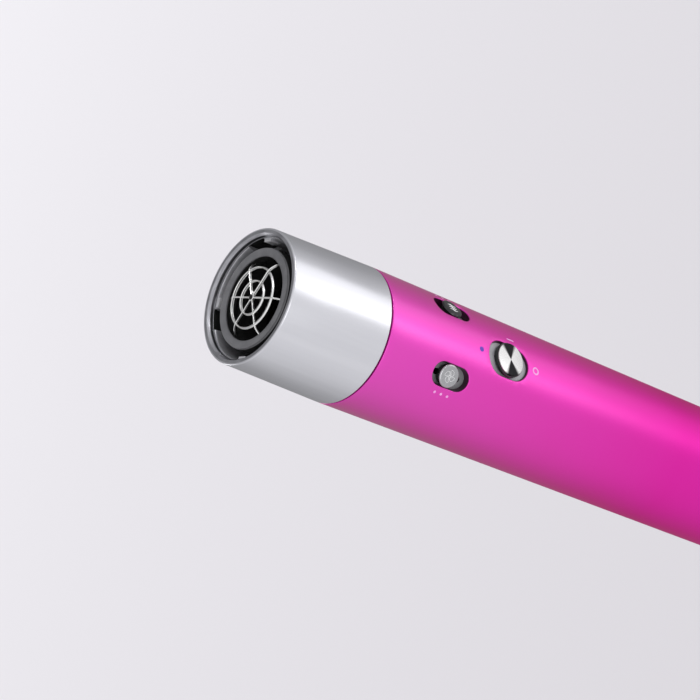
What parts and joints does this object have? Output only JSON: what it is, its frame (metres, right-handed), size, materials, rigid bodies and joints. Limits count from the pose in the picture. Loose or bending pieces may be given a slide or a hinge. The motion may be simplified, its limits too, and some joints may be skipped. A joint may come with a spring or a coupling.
{
  "type": "hot air styler handle",
  "caption": "Tubular hot air hair styler handle with an annular air outlet, an attachment socket, slide switches and a pull-off inlet filter.",
  "frame": {"origin": "centre of the flat base of the end cap, on the handle's axis", "axes": "+Z along the handle from the base to the air outlet; the power switch faces -Y, the air speed switch lies towards -X of it and the temperature switch towards +X"},
  "size_m": [0.042, 0.0428, 0.28],
  "materials": {
    "body_finish": "satin metallic magenta",
    "collar_metal": "satin silver",
    "grille_metal": "satin silver",
    "nozzle_grey": "satin dark grey",
    "socket_dark": "matte",
    "dark_plastic": "matte",
    "knob_dark": "satin",
    "knob_grey": "satin",
    "plate_grey": "satin",
    "spun_metal": "spun",
    "cap_grey": "satin",
    "rubber": "matte",
    "mesh_steel": "woven",
    "steel": "satin",
    "heater_wire": "satin",
    "mica": "matte",
    "ceramic": "matte",
    "board": "satin",
    "copper": "enamelled wire"
  },
  "bodies": {
    "root": {"body_sleeve": "body_finish", "capacitor": "dark_plastic", "control_board": "board", "cord_gland": "rubber", "end_cap": "cap_grey", "end_screw_1": "steel", "end_screw_2": "steel", "end_screw_3": "steel", "fan_plate": "plate_grey", "fan_switch": "dark_plastic", "front_bearing": "steel", "front_housing": "dark_plastic", "front_motor_mount": "rubber", "heat_plate": "plate_grey", "heat_switch": "dark_plastic", "heater_coil": "heater_wire", "heater_frame": "mica", "heater_holder": "ceramic", "heater_shield": "steel", "heater_triac": "dark_plastic", "inlet_frame": "dark_plastic", "inner_chassis": "dark_plastic", "motor_diffuser": "dark_plastic", "motor_duct": "dark_plastic", "motor_stator": "steel", "noise_choke": "copper", "outlet_collar": "collar_metal", "outlet_grille": "grille_metal", "outlet_nozzle": "nozzle_grey", "power_board": "board", "power_connector": "ceramic", "power_plate": "plate_grey", "power_switch": "dark_plastic", "rear_bearing": "steel", "rear_bearing_bridge": "dark_plastic", "rear_motor_mount": "rubber", "socket_ring": "socket_dark", "stator_coil_1": "copper", "stator_coil_2": "copper", "stator_coil_3": "copper", "stator_coil_4": "copper", "temperature_sensor": "ceramic", "thermal_cutout": "steel", "thermal_fuse": "ceramic"},
    "rotor": {"rotor_shaft": "steel", "rotor_magnet": "steel", "impeller": "dark_plastic"},
    "power_slider": {"power_knob": "knob_dark", "power_cap": "spun_metal", "power_lever": "dark_plastic"},
    "fan_slider": {"fan_knob": "knob_grey", "fan_lever": "dark_plastic"},
    "heat_slider": {"heat_knob": "knob_grey", "heat_lever": "dark_plastic"},
    "filter": {"filter_cage": "body_finish", "filter_mesh": "mesh_steel", "filter_magnet_ring": "steel"}
  },
  "joints": [
    {"name": "rotor_spin", "type": "hinge", "parent": "root", "child": "rotor", "pos_m": [0, 0, 0.09], "axis": [0, 0, 1], "continuous": true},
    {"name": "power_travel", "type": "slide", "parent": "root", "child": "power_slider", "axis": [0, 0, 1], "range_m": [-0.0024, 0.0024]},
    {"name": "fan_travel", "type": "slide", "parent": "root", "child": "fan_slider", "axis": [0, 0, 1], "range_m": [-0.0024, 0.0024]},
    {"name": "heat_travel", "type": "slide", "parent": "root", "child": "heat_slider", "axis": [0, 0, 1], "range_m": [-0.0024, 0.0024]},
    {"name": "filter_pull", "type": "slide", "parent": "root", "child": "filter", "axis": [0, 0, -1], "range_m": [0, 0.055]}
  ]
}
